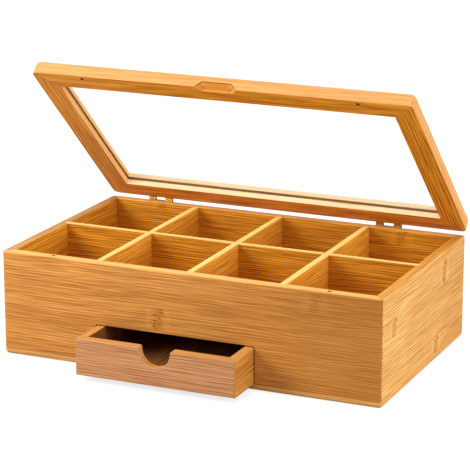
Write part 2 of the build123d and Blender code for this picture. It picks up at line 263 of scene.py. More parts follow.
def build_fibres():
    tree, given, result = shader_group(
        "bamboo_fibres",
        {
            "Grain": ("vector", None),
            "Seed": ("value", 0.0),
            "Light": ("colour", srgb("#EFB670")),
            "Dark": ("colour", srgb("#B97433")),
            "Lines": ("value", 0.5),
        },
        {"Colour": "colour", "Height": "value", "Roughness": "value"},
    )
    shift = vector_math(
        tree, "MULTIPLY", join(tree, given["Seed"], given["Seed"], given["Seed"]), (613, 171, 257)
    )
    place = vector_math(tree, "ADD", in_millimetres(tree, given["Grain"]), shift)

    # The cane never grows quite straight, so the fibres wander by a fraction of a millimetre.
    wander = noise(tree, vector_math(tree, "MULTIPLY", place, (1 / 110, 1 / 35, 1 / 35)), 1.0)
    wander_mm = ramp(tree, wander, 0.25, 0.75, -FIBRE_WANDER, FIBRE_WANDER)
    bent = vector_math(tree, "ADD", place, join(tree, 0.0, wander_mm, wander_mm))

    def stretched(along, across, detail=0.0):
        """Noise whose spots are this many millimetres long and wide."""
        return noise(
            tree, vector_math(tree, "MULTIPLY", bent, (1 / along, 1 / across, 1 / across)), detail
        )

    # The cane's fibre bundles give near-regular lines. They are a sine across the grain, pushed to
    # and fro by slow noise, that fades in and out along the board.
    apart = split(tree, bent)
    across = calculate(tree, "ADD", apart["Z"], product(tree, apart["Y"], 0.8))
    push = product(tree, stretched(90, 9.0, 1.0), LINE_PUSH)
    turns = calculate(tree, "ADD", product(tree, across, 2 * math.pi / LINE_PITCH), push)
    line = product(tree, calculate(tree, "SINE", turns), ramp(tree, stretched(30, 2.4), 0.3, 0.6))
    line = calculate(tree, "ADD", product(tree, line, 0.5), 0.5)

    hair = stretched(14, 0.45, 1.0)
    fibre = stretched(44, 0.75)
    streak = stretched(120, 2.6, 1.0)
    strip = stretched(280, 14.0)
    dark_fibre = stretched(40, 0.7)

    layers = (
        (ramp(tree, fibre, 0.36, 0.64), 0.42),
        (line, given["Lines"]),
        (ramp(tree, hair, 0.32, 0.68), 0.22),
        (ramp(tree, streak, 0.35, 0.65), 0.12),
        (ramp(tree, strip, 0.34, 0.66), 0.14),
    )
    tone = 0.0
    for layer, weight in layers:
        centred = calculate(tree, "SUBTRACT", layer, 0.5)
        tone = calculate(tree, "ADD", product(tree, centred, weight), tone)
    tone = calculate(tree, "ADD", tone, 0.5, clamp=True)
    colour = mix_colour(tree, tone, given["Dark"], given["Light"])
    fibre_mask = product(tree, ramp(tree, dark_fibre, 0.64, 0.76), DARK_FIBRE)
    fibre_colour = mix_colour(tree, 1.0, given["Dark"], DARK_FIBRE_TINT, "MULTIPLY")
    colour = mix_colour(tree, fibre_mask, colour, fibre_colour)

    tree.links.new(colour, result["Colour"])
    tree.links.new(calculate(tree, "SUBTRACT", layers[0][0], fibre_mask), result["Height"])
    tree.links.new(ramp(tree, fibre, 0.25, 0.75, 0.56, 0.42), result["Roughness"])
    return tree


bamboo_fibres = build_fibres()
print("bamboo_fibres:", len(bamboo_fibres.nodes), "nodes")

# %% [markdown]
# ## Knots
#
# Every twenty centimetres or so a cane has a joint. Sawn and planed, it shows as a column of
# short dark dashes along the grain, one above the other and set to and fro, with paler wood on
# both sides. The dashes are made row by row: the distance across the grain is cut into rows, and
# each row draws three random numbers for its dash's place, length and strength.


# %% A knot
def build_knot():
    tree, given, result = shader_group(
        "bamboo_knot",
        {"Grain": ("vector", None), "Place": ("vector", None), "Reach": ("value", 8.0)},
        {"Dashes": "value", "Shade": "value", "Halo": "value"},
    )
    offset = vector_math(tree, "SUBTRACT", given["Grain"], given["Place"])
    away = split(tree, in_millimetres(tree, offset))
    along = away["X"]
    across = calculate(tree, "ADD", away["Z"], product(tree, away["Y"], 0.6))
    inside = ramp(tree, calculate(tree, "ABSOLUTE", across), given["Reach"], 0.0)
    inside = ramp(tree, inside, 0.0, 0.35)

    def dashes(pitch, spread, shortest, longest):
        """A column of dashes: rows of this pitch, dashes set up to spread from the middle."""
        rows = calculate(tree, "DIVIDE", across, pitch)
        row = calculate(tree, "FLOOR", rows)
        chance = add_node(tree, "ShaderNodeTexWhiteNoise", {"W": row}, noise_dimensions="1D")
        random = split(tree, chance.outputs["Color"])
        middle = ramp(tree, random["X"], 0.0, 1.0, -spread, spread)
        half = ramp(tree, random["Y"], 0.0, 1.0, shortest, longest)
        distance = calculate(tree, "ABSOLUTE", calculate(tree, "SUBTRACT", along, middle))
        length_mask = ramp(tree, calculate(tree, "DIVIDE", distance, half), 1.0, 0.45)
        from_row_middle = calculate(tree, "SUBTRACT", calculate(tree, "SUBTRACT", rows, row), 0.5)
        width_mask = ramp(tree, calculate(tree, "ABSOLUTE", from_row_middle), 0.42, 0.15)
        strength = ramp(tree, random["Z"], 0.0, 1.0, 0.35, 1.0)
        return product(tree, length_mask, width_mask, strength)

    bold = dashes(2.2, 3.2, 1.0, 2.6)
    fine = product(tree, dashes(1.15, 6.0, 0.8, 2.0), 0.6)
    marks = calculate(tree, "MAXIMUM", bold, fine)
    distance = calculate(tree, "ABSOLUTE", along)
    halo = product(tree, ramp(tree, distance, 1.5, 4.0), ramp(tree, distance, 13.0, 5.0), inside)
    tree.links.new(product(tree, marks, inside), result["Dashes"])
    tree.links.new(product(tree, ramp(tree, distance, 8.0, 1.0), inside), result["Shade"])
    tree.links.new(halo, result["Halo"])
    return tree


bamboo_knot = build_knot()
print("bamboo_knot:", len(bamboo_knot.nodes), "nodes")

# %% [markdown]
# ## Eased edges
#
# The maker breaks every sharp edge with fine paper, which bares paler wood there. The pale line is
# also a painted highlight, for the light that a rounded edge catches. The Bevel node gives the
# normal that a slightly rounded edge would have, and where it differs from the real normal there
# is an edge.


# %% Edge mask
def build_edge():
    tree, given, result = shader_group(
        "eased_edge", {"Radius": ("value", 0.0008)}, {"Mask": "value", "Normal": "vector"}
    )
    bevel = add_node(tree, "ShaderNodeBevel", {"Radius": given["Radius"]}, samples=6)
    geometry = add_node(tree, "ShaderNodeNewGeometry")
    same = vector_math(tree, "DOT_PRODUCT", bevel.outputs["Normal"], geometry.outputs["True Normal"])
    tree.links.new(ramp(tree, same, 0.995, 0.85), result["Mask"])
    tree.links.new(bevel.outputs["Normal"], result["Normal"])
    return tree


eased_edge = build_edge()
print("eased_edge:", len(eased_edge.nodes), "nodes")

# %% [markdown]
# ## Glue lines
#
# The boards meet in mitres, cut at 45 degrees and glued. The glue leaves a hair-thin dark line.
# A mitre is a plane, so one group measures the distance from it and darkens the last bit.


# %% Glue line
def build_glue_line():
    tree, given, result = shader_group(
        "glue_line",
        {"Place": ("vector", None), "Through": ("vector", None), "Normal": ("vector", None)},
        {"Mask": "value"},
    )
    offset = vector_math(tree, "SUBTRACT", given["Place"], given["Through"])
    distance = vector_math(tree, "DOT_PRODUCT", in_millimetres(tree, offset), given["Normal"])
    tree.links.new(ramp(tree, calculate(tree, "ABSOLUTE", distance), 0.45, 0.08), result["Mask"])
    return tree


glue_line = build_glue_line()
print("glue_line:", len(glue_line.nodes), "nodes")

# %% [markdown]
# ## Boards
#
# One function makes the bamboo of any board. It differs from board to board in the way the grain
# runs, in its tones, in its seed, in its knots and in its mitres. The grain's direction is a turn
# of the object's own coordinates, so that X always lies along the fibres. Faces that look a given
# way have tones of their own. On a narrow edge, such as a rim, they are partly the paler cane seen
# side on and partly painted light and shade. On a broad face they are painted light and shade
# alone: the inside of the box darker, the lid's inner faces lighter where light falls on them. A
# board may also darken from one end to the other, which is painted shade for light that falls off
# across the box.

# %% Bamboo for a board
ALONG_X = (0.0, 0.0, 0.0)
ALONG_Y = (0.0, 0.0, math.radians(-90))
UP = (0.0, 0.0, 1.0)
FIBRE_RELIEF = 0.00006
EASED_RADIUS = 0.0007
KNOT_DARK = srgb("#9A4E0A")
GLUE_DARK = srgb("#7A461C")
EDGE_WEAR_AND_HIGHLIGHT = srgb("#FFDFA0")
EVEN = (0.0, 1.0, 0.0)


def bamboo(
    name, turn, seed, tones, faces=(), knots=(), mitres=(), lines=0.85, glue=0.6, shade_falloff=EVEN
):
    """Bamboo with its grain turned as given. Tones are (light, dark), and faces holds (way, tones)
    for the faces that look a given way. A knot is (place, reach, strength), a mitre (point, normal).
    The shade falloff is (start, end, amount): painted shade that darkens the board along its grain."""
    light, dark = (srgb(code) for code in tones)
    material, tree, bsdf = new_material(
        name, **{"Specular IOR Level": 0.16, "Coat Weight": 0.02, "Coat Roughness": 0.3}
    )
    coordinates = add_node(tree, "ShaderNodeTexCoord").outputs
    grain = add_node(
        tree, "ShaderNodeMapping", {"Vector": coordinates["Object"], "Rotation": turn}
    ).outputs["Vector"]
    for way, (face_light, face_dark) in faces:
        looks_along = vector_math(tree, "DOT_PRODUCT", coordinates["Normal"], way)
        looks_along = ramp(tree, looks_along, 0.55, 0.85)
        light = mix_colour(tree, looks_along, light, srgb(face_light))
        dark = mix_colour(tree, looks_along, dark, srgb(face_dark))
    fibres = use_group(
        tree,
        bamboo_fibres,
        {"Grain": grain, "Seed": seed, "Light": light, "Dark": dark, "Lines": lines},
    )
    # Painted shade: the board fades towards its dark tone along the grain, for light that falls off
    # across the box.
    start, end, amount = shade_falloff
    falloff_shade = ramp(tree, split(tree, grain)["X"], start, end, 0.0, amount)
    colour = mix_colour(tree, falloff_shade, fibres["Colour"], dark)
    for place, reach, strength in knots:
        turned = Euler(turn).to_matrix() @ Vector(place)
        knot = use_group(tree, bamboo_knot, {"Grain": grain, "Place": turned, "Reach": reach})
        colour = mix_colour(tree, product(tree, knot["Halo"], 0.3 * strength), colour, light)
        colour = mix_colour(tree, product(tree, knot["Shade"], 0.35 * strength), colour, dark)
        colour = mix_colour(tree, product(tree, knot["Dashes"], 0.85 * strength), colour, KNOT_DARK)
    for through, normal in mitres:
        line = use_group(
            tree, glue_line, {"Place": coordinates["Object"], "Through": through, "Normal": normal}
        )
        colour = mix_colour(tree, product(tree, line["Mask"], glue), colour, GLUE_DARK)
    edge = use_group(tree, eased_edge, {"Radius": EASED_RADIUS})
    # Paler along every edge: partly sanded wood, partly a painted highlight.
    colour = mix_colour(tree, product(tree, edge["Mask"], 0.15), colour, EDGE_WEAR_AND_HIGHLIGHT)
    relief = {"Strength": 0.6, "Distance": FIBRE_RELIEF, "Height": fibres["Height"]}
    bump = add_node(tree, "ShaderNodeBump", {**relief, "Normal": edge["Normal"]})
    tree.links.new(colour, bsdf.inputs["Base Color"])
    tree.links.new(fibres["Roughness"], bsdf.inputs["Roughness"])
    tree.links.new(bump.outputs["Normal"], bsdf.inputs["Normal"])
    return material


print("edges eased by %.1f mm" % (EASED_RADIUS * 1000))

# %% [markdown]
# ## The body
#
# Four walls stand on a base board. The front one is a warm tan with two knots and the right one a
# paler cane with three. Inside the box the cane is a deeper, darker orange, which is painted shade:
# it stands for the shade in the compartments and the warm light bouncing between their walls. The
# mitre planes go through the body's upright corners at 45 degrees.

# %% Walls and base
FRONT_TONES = ("#ECA656", "#AA6824")
SIDE_TONES = ("#FFCA78", "#C07C32")
# Painted shade: the inner faces of the box get these deeper, darker tones, unlike the outside of the
# same boards.
INSIDE_SHADE_TONES = ("#F2A832", "#A0600C")
BASE_TONES = ("#F0B468", "#CC9048")
FRONT_RIM = ("#FFCC7A", "#DCA24E")
SIDE_RIM = ("#F0A840", "#C07C28")
LEFT_RIM = ("#D89C50", "#B0783A")

body_low, body_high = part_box("base_board")
CORNER_WAYS = {"left": -1, "right": 1, "front": -1, "back": 1}


def wall_mitre(side_x, side_y):
    """The glue plane of one upright corner of the body: a point on it and its normal."""
    x = body_high[0] if side_x == "right" else body_low[0]
    y = body_high[1] if side_y == "back" else body_low[1]
    normal = Vector((CORNER_WAYS[side_y], -CORNER_WAYS[side_x], 0)).normalized()
    return (x, y, 0.0), normal


def wall_mitres(*corners):
    return [wall_mitre(side_x, side_y) for side_x, side_y in corners]


front_mitres = wall_mitres(("left", "front"), ("right", "front"))
back_mitres = wall_mitres(("left", "back"), ("right", "back"))
left_mitres = wall_mitres(("left", "front"), ("left", "back"))
right_mitres = wall_mitres(("right", "front"), ("right", "back"))

front_knots = [((-0.0225, -0.0925, 0.0440), 11, 1.0), ((0.1020, -0.0925, 0.0720), 9, 0.45)]
back_knots = [((0.104, 0.0845, 0.075), 8, 0.8), ((-0.104, 0.0845, 0.079), 4, 0.9)]
left_knots = [((-0.1535, 0.0330, 0.0300), 10, 0.9)]
right_knots = [
    ((0.1535, -0.0680, 0.0540), 9, 1.15),
    ((0.1535, 0.0425, 0.0660), 12, 1.4),
    ((0.1535, 0.0265, 0.0125), 8, 1.3),
]

# The front and right walls darken along their length: painted shade for light that falls off across
# the box.
front_bamboo = bamboo(
    "front_bamboo",
    ALONG_X,
    1.0,
    FRONT_TONES,
    [(UP, FRONT_RIM)],
    front_knots,
    front_mitres,
    lines=0.5,
    shade_falloff=(-0.01, 0.14, 0.5),
)
back_bamboo = bamboo(
    "back_bamboo",
    ALONG_X,
    2.0,
    INSIDE_SHADE_TONES,
    [(UP, FRONT_RIM), ((0, 1, 0), FRONT_TONES)],
    back_knots,
    back_mitres,
    lines=0.6,
)
left_bamboo = bamboo(
    "left_bamboo",
    ALONG_Y,
    3.0,
    INSIDE_SHADE_TONES,
    [(UP, LEFT_RIM), ((-1, 0, 0), SIDE_TONES)],
    left_knots,
    left_mitres,
)
right_bamboo = bamboo(
    "right_bamboo",
    ALONG_Y,
    4.0,
    SIDE_TONES,
    [(UP, SIDE_RIM)],
    right_knots,
    right_mitres,
    lines=1.35,
    shade_falloff=(-0.06, 0.08, 0.3),
)
dress("front_wall", front_bamboo)
dress("back_wall", back_bamboo)
dress("left_wall", left_bamboo)
dress("right_wall", right_bamboo)
dress("base_board", bamboo("base_bamboo", ALONG_X, 5.0, BASE_TONES))
dress("compartment_floor", bamboo("floor_bamboo", ALONG_X, 6.0, INSIDE_SHADE_TONES))
print("walls dressed, knots:", len(front_knots + back_knots + left_knots + right_knots))

# %% [markdown]
# ## Dividers and drawer guides
#
# The dividers are thin strips of the same cane, in the deeper orange that is painted shade inside
# the box. Their tops, which face up, get the palest tones on the box: partly the cane seen side on,
# partly painted light from above. The guides sit out of sight beside the drawer.

# %% Dividers and guides
DIVIDER_TOP = [(UP, ("#FFDC82", "#F4C466"))]
SHORT_TONES = ("#F8AE40", "#A86610")

dress("long_divider", bamboo("long_divider_bamboo", ALONG_X, 7.0, INSIDE_SHADE_TONES, DIVIDER_TOP))
for number in (1, 2, 3):
    name = "short_divider_%d" % number
    material = bamboo(name + "_bamboo", ALONG_Y, 8.0 + number, SHORT_TONES, DIVIDER_TOP)
    dress(name, material)
for side, seed in (("left", 12.0), ("right", 12.5)):
    dress(side + "_drawer_guide", bamboo(side + "_guide_bamboo", ALONG_Y, seed, INSIDE_SHADE_TONES))
print("dividers dressed")

# %% [markdown]
# ## The drawer
#
# The drawer's outside is a slightly pinker cane. Its inside is a dark brown, on the bottom board
# and on the inner faces alike. Where the dark brown lies follows from the boards: a box between the
# two sides and behind the front.

# %% Drawer
DRAWER_TONES = ("#DCA270", "#AC7046")
DRAWER_SIDE_TONES = ("#DC9C48", "#935A1C")
DRAWER_RIM = [(UP, ("#DA9C5A", "#B8803C"))]
DRAWER_INSIDE_TONES = ("#A06434", "#563018")
INSIDE_EDGE = 0.0003
INSIDE_SEED = 31.0

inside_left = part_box("drawer_left_side")[1][0]
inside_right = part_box("drawer_right_side")[0][0]
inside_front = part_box("drawer_front")[1][1]


def darken_drawer_inside(material):
    """Darkens what a bamboo material shows inside the drawer."""
    tree = material.node_tree
    place = texture_place(tree)
    apart = split(tree, place)
    inside = product(
        tree,
        ramp(tree, apart["X"], inside_left - INSIDE_EDGE, inside_left),
        ramp(tree, apart["X"], inside_right + INSIDE_EDGE, inside_right),
        ramp(tree, apart["Y"], inside_front - INSIDE_EDGE, inside_front),
    )
    light, dark = (srgb(code) for code in DRAWER_INSIDE_TONES)
    darkening = {"Grain": place, "Seed": INSIDE_SEED, "Light": light, "Dark": dark}
    paint_over(material, inside, use_group(tree, bamboo_fibres, darkening)["Colour"])
    return material


drawer_front = bamboo("drawer_front_bamboo", ALONG_X, 15.0, DRAWER_TONES, DRAWER_RIM)
drawer_back = bamboo("drawer_back_bamboo", ALONG_X, 16.0, DRAWER_TONES, DRAWER_RIM)
dress("drawer_front", darken_drawer_inside(drawer_front))
dress("drawer_back", darken_drawer_inside(drawer_back))
for side, seed in (("left", 13.0), ("right", 14.0)):
    side_name = "drawer_%s_side" % side
    side_material = bamboo(side_name + "_bamboo", ALONG_Y, seed, DRAWER_SIDE_TONES, DRAWER_RIM)
    dress(side_name, darken_drawer_inside(side_material))
dress("drawer_bottom", bamboo("drawer_bottom_bamboo", ALONG_Y, 17.0, DRAWER_INSIDE_TONES))
print("drawer dressed, stain between x = %.4f and %.4f" % (inside_left, inside_right))

# %% [markdown]
# ## The lid's rails
#
# The lid stands open, so the fibres of its two side rails climb with it. Their coordinates are
# first laid flat by the lid's own angle and then turned, the same way as for a side wall. The
# lid's mitre planes are those of a shut lid, carried round the hinge line by the same angle.

# %% Lid rails
LID_TONES = ("#F2B270", "#D48E48")
LID_UNDER = ("#FFB23A", "#BC6C0C")
# Painted light: the rails' inward faces take these paler tones, lighter where light falls on them
# through the open window.
LID_LIT_CREAM = ("#FFE8BC", "#FFD8A0")
LID_LIT_BAND = ("#FFD08C", "#FFB86C")

lid_hinge = next(joint for joint in frame["joints"] if joint["child"] == "lid")
lid_angle = -lid_hinge["range_deg"][0]
hinge_point = Vector(lid_hinge["pos_m"])
opened = Matrix.Rotation(math.radians(-lid_angle), 3, "X")
side_turn = (Euler(ALONG_Y).to_matrix() @ opened.inverted()).to_euler()


def open_mitres(flat_mitres):
    """Mitre planes of the shut lid, moved to where the open lid has them."""
    moved = []
    for through, normal in flat_mitres:
        point = Vector((through[0], through[1], body_high[2]))
        moved.append((hinge_point + opened @ (point - hinge_point), opened @ normal))
    return moved


rails = {
    "front": (ALONG_X, 21.0, front_mitres, (0, 1, 0), LID_LIT_BAND),
    "back": (ALONG_X, 22.0, back_mitres, (0, -1, 0), LID_LIT_CREAM),
    "left": (side_turn, 23.0, left_mitres, (1, 0, 0), LID_LIT_BAND),
    "right": (side_turn, 24.0, right_mitres, (-1, 0, 0), LID_LIT_BAND),
}
underside = opened @ Vector((0, 0, -1))
for side, (turn, seed, mitres, inward, band) in rails.items():
    rail_bamboo = bamboo(
        "lid_%s_bamboo" % side,
        turn,
        seed,
        LID_TONES,
        [(underside, LID_UNDER), (opened @ Vector(inward), band)],
        mitres=open_mitres(mitres),
        lines=0.5 if turn == ALONG_X else 1.3,
        glue=0.25,
    )
    dress("lid_%s_rail" % side, rail_bamboo)
print("side rails turn by", [round(math.degrees(a), 1) for a in side_turn])

# %% [markdown]
# ## The finger recess
#
# A cutter scooped the recess out of the front rail's lower edge. Inside it the grain is cut across
# at a slant, so the wood is an even orange. A thin dark line along its upper rim is painted shade.
# The recess is easiest to find with the lid laid flat in thought: it reaches so far to each side,
# so far up the rail, and so deep behind the rail's outer face.

# %% Recess
RECESS_TONE = "#E0903A"
RECESS_SHADE_LINE = "#8A5418"
RECESS_REACH = 19.0
RECESS_HEIGHT = 7.0
LINE_DEPTH = 0.5
LINE_HEIGHT = (0.5, 2.0)

flat = Matrix.Rotation(math.radians(lid_angle), 3, "X")
rail_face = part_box("front_wall")[0][1] * 1000
rim_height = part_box("front_wall")[1][2] * 1000
recess_top = rim_height + RECESS_HEIGHT


def laid_flat(tree):
    """The place of a point of the lid when the lid lies shut, in millimetres."""
    shut = {
        "Vector": texture_place(tree),
        "Location": hinge_point - flat @ hinge_point,
        "Rotation": flat.to_euler(),
    }
    return split(tree, in_millimetres(tree, add_node(tree, "ShaderNodeMapping", shut).outputs[0]))


def colour_recess(material):
    """Gives the scooped part of the front rail its own even tone and a line of painted shade at its
    rim.
    """
    tree = material.node_tree
    laid = laid_flat(tree)
    depth = calculate(tree, "SUBTRACT", laid["Y"], rail_face)
    sideways = calculate(tree, "ABSOLUTE", laid["X"])
    normal = add_node(tree, "ShaderNodeTexCoord").outputs["Normal"]
    looks_down = vector_math(tree, "DOT_PRODUCT", normal, underside)
    scooped = product(
        tree,
        ramp(tree, sideways, RECESS_REACH + 0.5, RECESS_REACH),
        ramp(tree, laid["Z"], recess_top + 0.5, recess_top),
        ramp(tree, looks_down, 0.97, 0.93),
        ramp(tree, depth, 0.05, 0.15),
    )
    line = product(
        tree,
        scooped,
        ramp(tree, depth, LINE_DEPTH * 2, LINE_DEPTH),
        ramp(tree, laid["Z"], rim_height + LINE_HEIGHT[0], rim_height + LINE_HEIGHT[1]),
    )
    paint_over(material, product(tree, scooped, 0.75), srgb(RECESS_TONE))
    # Painted shade: a thin dark line along the recess's upper rim.
    paint_over(material, product(tree, line, 0.85), srgb(RECESS_SHADE_LINE))


colour_recess(nodes["lid_front_rail"].material_slots[0].material)
print("recess toned up to %.1f mm above the rim" % RECESS_HEIGHT)

# %% [markdown]
# ## The pane's groove
#
# The pane sits in a groove round the rails' inner faces. Below the pane the groove is painted with
# shade, a thin dark line that follows the window round. The pane itself, laid flat, says at what
# height.

# %% Groove
GROOVE_LINE = 0.85
GROOVE_SHADE = "#5E3A08"
OUTER_SKIN = 12.0
SOFT = 0.15

window_points = [vertex.co for vertex in nodes["lid_window"].data.vertices]
pane_heights = [(hinge_point + flat @ (co - hinge_point)).z * 1000 for co in window_points]
pane_low = min(pane_heights)
lid_half = [(body_high[axis] - body_low[axis]) * 500 for axis in (0, 1)]


def shade_groove(material):
    """Paints a thin line of shade below the pane on a lid rail."""
    tree = material.node_tree
    laid = laid_flat(tree)
    from_side = calculate(tree, "SUBTRACT", lid_half[0], calculate(tree, "ABSOLUTE", laid["X"]))
    from_front = calculate(tree, "SUBTRACT", lid_half[1], calculate(tree, "ABSOLUTE", laid["Y"]))
    inward = calculate(tree, "MINIMUM", from_side, from_front)
    line = product(
        tree,
        ramp(tree, inward, OUTER_SKIN, OUTER_SKIN + 0.5),
        ramp(tree, laid["Z"], pane_low - 2 * SOFT, pane_low - SOFT),
        ramp(tree, laid["Z"], pane_low + GROOVE_LINE, pane_low + GROOVE_LINE - SOFT),
    )
    # Painted shade: a thin dark line in the groove below the pane.
    paint_over(material, product(tree, line, 0.85), srgb(GROOVE_SHADE))


for side in rails:
    shade_groove(nodes["lid_%s_rail" % side].material_slots[0].material)
print("pane from %.2f to %.2f mm above the table" % (pane_low, max(pane_heights)))

# %% [markdown]
# ## The window
#
# The pane is clear acrylic, so thin and clean that it shows mostly as a reflection at a low angle.
# Its alpha is therefore small face on and follows Fresnel towards grazing, and where it rises the
# sheet's near-white colour is a painted reflection of the white room. A ray that leaves the sheet
# through its second side must not be reflected again, so that side stays clear. Alpha, and not
# glass, is also what lets the lamps shine through onto the rails.

# %% Window
ACRYLIC_IOR = 1.49

acrylic, tree, bsdf = new_material(
    "clear_acrylic", **{"Base Color": (0.96, 0.98, 0.98, 1), "IOR": ACRYLIC_IOR}
)
place = in_millimetres(tree, texture_place(tree))
smudges = noise(tree, vector_math(tree, "MULTIPLY", place, (1 / 45, 1 / 30, 1 / 30)), 3.0)
fresnel = add_node(tree, "ShaderNodeFresnel", {"IOR": ACRYLIC_IOR}).outputs["Fac"]
backfacing = add_node(tree, "ShaderNodeNewGeometry").outputs["Backfacing"]
front_side = calculate(tree, "SUBTRACT", 1.0, backfacing)
# Painted reflection: where Fresnel raises the alpha, the sheet's near-white colour shows in place of
# what it reflects.
alpha = product(tree, calculate(tree, "ADD", fresnel, 0.01), front_side)
alpha = calculate(tree, "ADD", alpha, ramp(tree, smudges, 0.45, 0.7, 0.006, 0.02))

tree.links.new(alpha, bsdf.inputs["Alpha"])
tree.links.new(ramp(tree, smudges, 0.4, 0.7, 0.03, 0.12), bsdf.inputs["Roughness"])
dress("lid_window", acrylic)
print("window:", acrylic.name)

# %% [markdown]
# ## Hinges
#
# The small butt hinges are stamped brass gone brown, brighter where paper or a finger has
# rubbed the edges. Tarnish is a soft noise, and the stamping leaves faint lines along the leaf.


# %% Aged brass
def brass(name, bright, tarnished):
    material, tree, bsdf = new_material(name, **{"Metallic": 1.0})
    place = in_millimetres(tree, texture_place(tree))
    patches = noise(tree, vector_math(tree, "MULTIPLY", place, (1 / 2.2, 1 / 1.6, 1 / 1.6)), 3.0)
    lines = noise(tree, vector_math(tree, "MULTIPLY", place, (1 / 6, 1 / 0.12, 1 / 0.12)), 1.0)
    edge = use_group(tree, eased_edge, {"Radius": 0.00025})
    colour = mix_colour(tree, ramp(tree, patches, 0.35, 0.65), srgb(bright), srgb(tarnished))
    colour = mix_colour(tree, product(tree, edge["Mask"], 0.3), colour, srgb("#C89A5A"))
    bump = add_node(
        tree,
        "ShaderNodeBump",
        {"Strength": 0.4, "Distance": 0.00003, "Height": lines, "Normal": edge["Normal"]},
    )
    tree.links.new(colour, bsdf.inputs["Base Color"])
    tree.links.new(ramp(tree, patches, 0.3, 0.7, 0.38, 0.58), bsdf.inputs["Roughness"])
    tree.links.new(bump.outputs["Normal"], bsdf.inputs["Normal"])
    return material


hinge_brass = brass("aged_brass", "#96652F", "#6A421C")
screw_brass = brass("screw_brass", "#CFA368", "#9C7040")
for side in ("left", "right"):
    for part in ("box_leaf", "lid_leaf", "pin"):
        dress("%s_hinge_%s" % (side, part), hinge_brass)
print("hinges dressed")

# %% [markdown]
# ## Hinge screws
#
# Eight small countersunk screws hold the leaves. The frame has them as plain faceted stand-ins,
# and here each gets a round head with a cross recess. Geometry Nodes builds one screw from two
# cones and two crossed slots, and puts a copy on each point. Every copy is turned by a random
# amount about its own axis, because nobody stops driving a screw when the slots line up. The way
# the screws face is an input of the tree, and so is each of their sizes.


# %% Screw head and shank
def screw_head(tree, given, height):
    """A cone with its wide end up at the origin and two crossed slots cut into it."""
    radii = {"Radius Top": given["Head Radius"], "Radius Bottom": given["Shank Radius"]}
    cone = add_node(tree, "GeometryNodeMeshCone", {"Vertices": 32, **radii, "Depth": height})
    below = join(tree, z=product(tree, height, -1.0))
    sunk = {"Geometry": cone.outputs["Mesh"], "Translation": below}
    head = add_node(tree, "GeometryNodeTransform", sunk).outputs["Geometry"]
    cut = add_node(tree, "GeometryNodeMeshBoolean", {"Mesh 1": head}, operation="DIFFERENCE")
    depth = product(tree, given["Slot Depth"], 2.0)
    slot_size = join(tree, given["Slot Length"], given["Slot Width"], depth)
    for turn in (0.0, math.pi / 2):
        slot = add_node(tree, "GeometryNodeMeshCube", {"Size": slot_size}).outputs["Mesh"]
        turned = {"Geometry": slot, "Rotation": (0.0, 0.0, turn)}
        slot = add_node(tree, "GeometryNodeTransform", turned).outputs["Geometry"]
        tree.links.new(slot, cut.inputs["Mesh 2"])
    return cut.outputs["Mesh"]


def screw_shank(tree, given, head_height):
    """A long cone that ends almost in a point."""
    sizes = {
        "Radius Top": given["Shank Radius"],
        "Radius Bottom": product(tree, given["Shank Radius"], 0.3),
        "Depth": calculate(tree, "SUBTRACT", given["Length"], head_height),
    }
    cone = add_node(tree, "GeometryNodeMeshCone", {"Vertices": 16, **sizes}).outputs["Mesh"]
    sunk = {"Geometry": cone, "Translation": join(tree, z=product(tree, given["Length"], -1.0))}
    return add_node(tree, "GeometryNodeTransform", sunk).outputs["Geometry"]


print("parts of a screw:", screw_head.__name__, screw_shank.__name__)

# %% The screw tree's inputs
SCREW_SIZES = {
    "Head Radius": 0.0019,
    "Shank Radius": 0.0009,
    "Length": 0.0065,
    "Slot Length": 0.0022,
    "Slot Width": 0.0005,
    "Slot Depth": 0.0007,
}
SCREW_SEED = 3


def new_screw_tree():
    """An empty tree with a named input for every size. Returns it and its two end nodes' sockets."""
    tree = bpy.data.node_groups.new("cross_head_screws", "GeometryNodeTree")
    kinds = [("Geometry", "Geometry", None)]
    kinds += [(label, "Float", value) for label, value in SCREW_SIZES.items()]
    kinds += [("Facing", "Vector", (0, 1, 0)), ("Seed", "Int", SCREW_SEED)]
    kinds += [("Material", "Material", None)]
    for label, kind, value in kinds:
        socket = tree.interface.new_socket(label, in_out="INPUT", socket_type="NodeSocket" + kind)
        if value is not None:
            socket.default_value = value
    tree.interface.new_socket("Geometry", in_out="OUTPUT", socket_type="NodeSocketGeometry")
    return tree, tree.nodes.new("NodeGroupInput").outputs, tree.nodes.new("NodeGroupOutput").inputs


print("sizes of a screw in mm:", [round(size * 1000, 1) for size in SCREW_SIZES.values()])


# %% A tree that drives screws
def facing_and_spun(tree, given):
    """A rotation that points Z the way the screw faces, after a random spin about Z."""
    span = {"Min": 0.0, "Max": math.pi, "Seed": given["Seed"]}
    spin = add_node(tree, "FunctionNodeRandomValue", span, data_type="FLOAT")
    spin = next(output for output in spin.outputs if output.enabled)
    spun = add_node(tree, "FunctionNodeEulerToRotation", {"Euler": join(tree, z=spin)}).outputs[0]
    way = {"Vector": given["Facing"]}
    aligned = add_node(tree, "FunctionNodeAlignRotationToVector", way, axis="Z").outputs[0]
    both = {"Rotation": aligned, "Rotate By": spun}
    return add_node(tree, "FunctionNodeRotateRotation", both, rotation_space="LOCAL").outputs[0]


